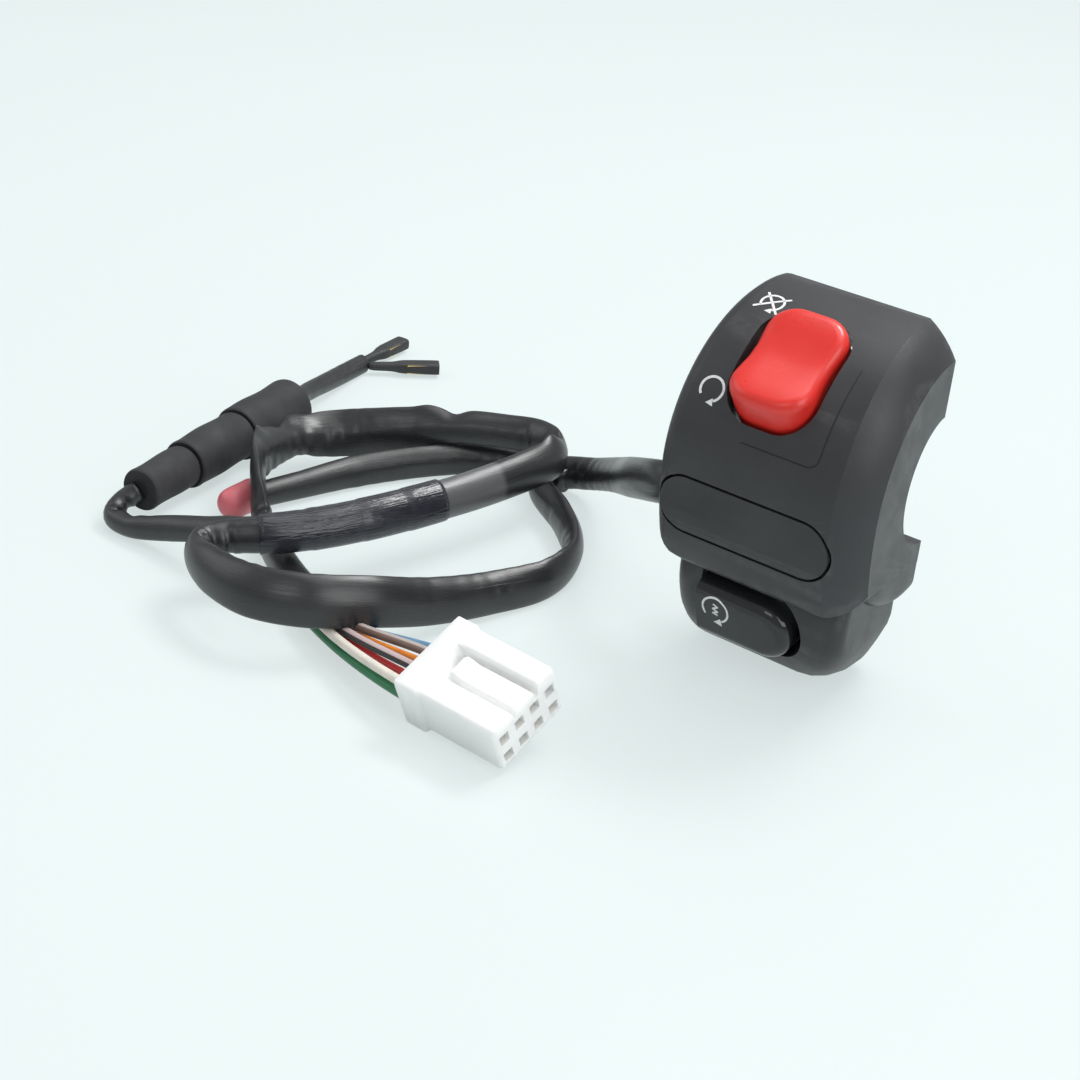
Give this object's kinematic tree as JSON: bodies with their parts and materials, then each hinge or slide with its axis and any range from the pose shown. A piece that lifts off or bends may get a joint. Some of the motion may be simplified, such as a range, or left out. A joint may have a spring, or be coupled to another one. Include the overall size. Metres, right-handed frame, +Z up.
{
  "type": "handlebar switch cluster",
  "caption": "Front half of a right-hand handlebar switch: a drum that clamps the bar, a red kill rocker, a push starter below, a blanked slot and a looped harness with a white connector",
  "frame": {"origin": "on the axis of the clamped handlebar, in the split face, at the right end of the housing", "axes": "+X along the bar towards the grip, -Y towards the rider, +Z up"},
  "size_m": [0.1506, 0.1163, 0.0633],
  "materials": {
    "black_plastic": "fine-textured black moulding",
    "dark_plastic": "plain dark moulding",
    "gloss_black": "smooth black",
    "red_plastic": "satin red moulding",
    "ivory_plastic": "natural acetal",
    "white_nylon": "natural nylon",
    "black_rubber": "matt",
    "sleeve_vinyl": "satin vinyl tube",
    "tape": "wound tape",
    "wire_plastic": "coloured insulation",
    "red_vinyl": "soft cap",
    "brass": "plain",
    "steel": "zinc plated"
  },
  "bodies": {
    "housing": {"front_housing": "black_plastic", "blank_cover": "black_plastic", "screw_inserts": "brass", "cable_grommet": "black_rubber", "kill_carrier": "dark_plastic", "rocker_pin": "steel", "kill_contacts": "brass", "starter_base": "dark_plastic", "starter_contacts": "brass", "starter_spring": "steel", "module_screws": "steel", "inner_leads": "wire_plastic", "harness_sleeve": "sleeve_vinyl", "tape_wrap": "tape", "harness_wires": "wire_plastic", "connector_housing": "white_nylon", "connector_sockets": "brass", "branch_tube": "sleeve_vinyl", "shrink_small": "black_rubber", "shrink_mid": "black_rubber", "shrink_large": "black_rubber", "terminal_tube": "sleeve_vinyl", "terminal_boots": "black_rubber", "terminal_sockets": "brass", "capped_lead": "sleeve_vinyl", "red_cap": "red_vinyl"},
    "kill_rocker": {"kill_rocker": "red_plastic", "contact_shoe": "ivory_plastic", "bridge_contact": "brass"},
    "starter_button": {"starter_button": "gloss_black", "starter_bridge": "brass"}
  },
  "joints": [
    {"name": "kill_rocker_tilt", "type": "hinge", "parent": "housing", "child": "kill_rocker", "pos_m": [-0.0187, -0.01716, 0.01694], "axis": [1, 0, 0], "range_deg": [0, 18]},
    {"name": "starter_push", "type": "slide", "parent": "housing", "child": "starter_button", "axis": [0, 0.9659, 0.2588], "range_m": [0, 0.003], "stiffness_N_per_m": 600, "springref_m": -0.002, "deforming": ["starter_spring"]}
  ]
}
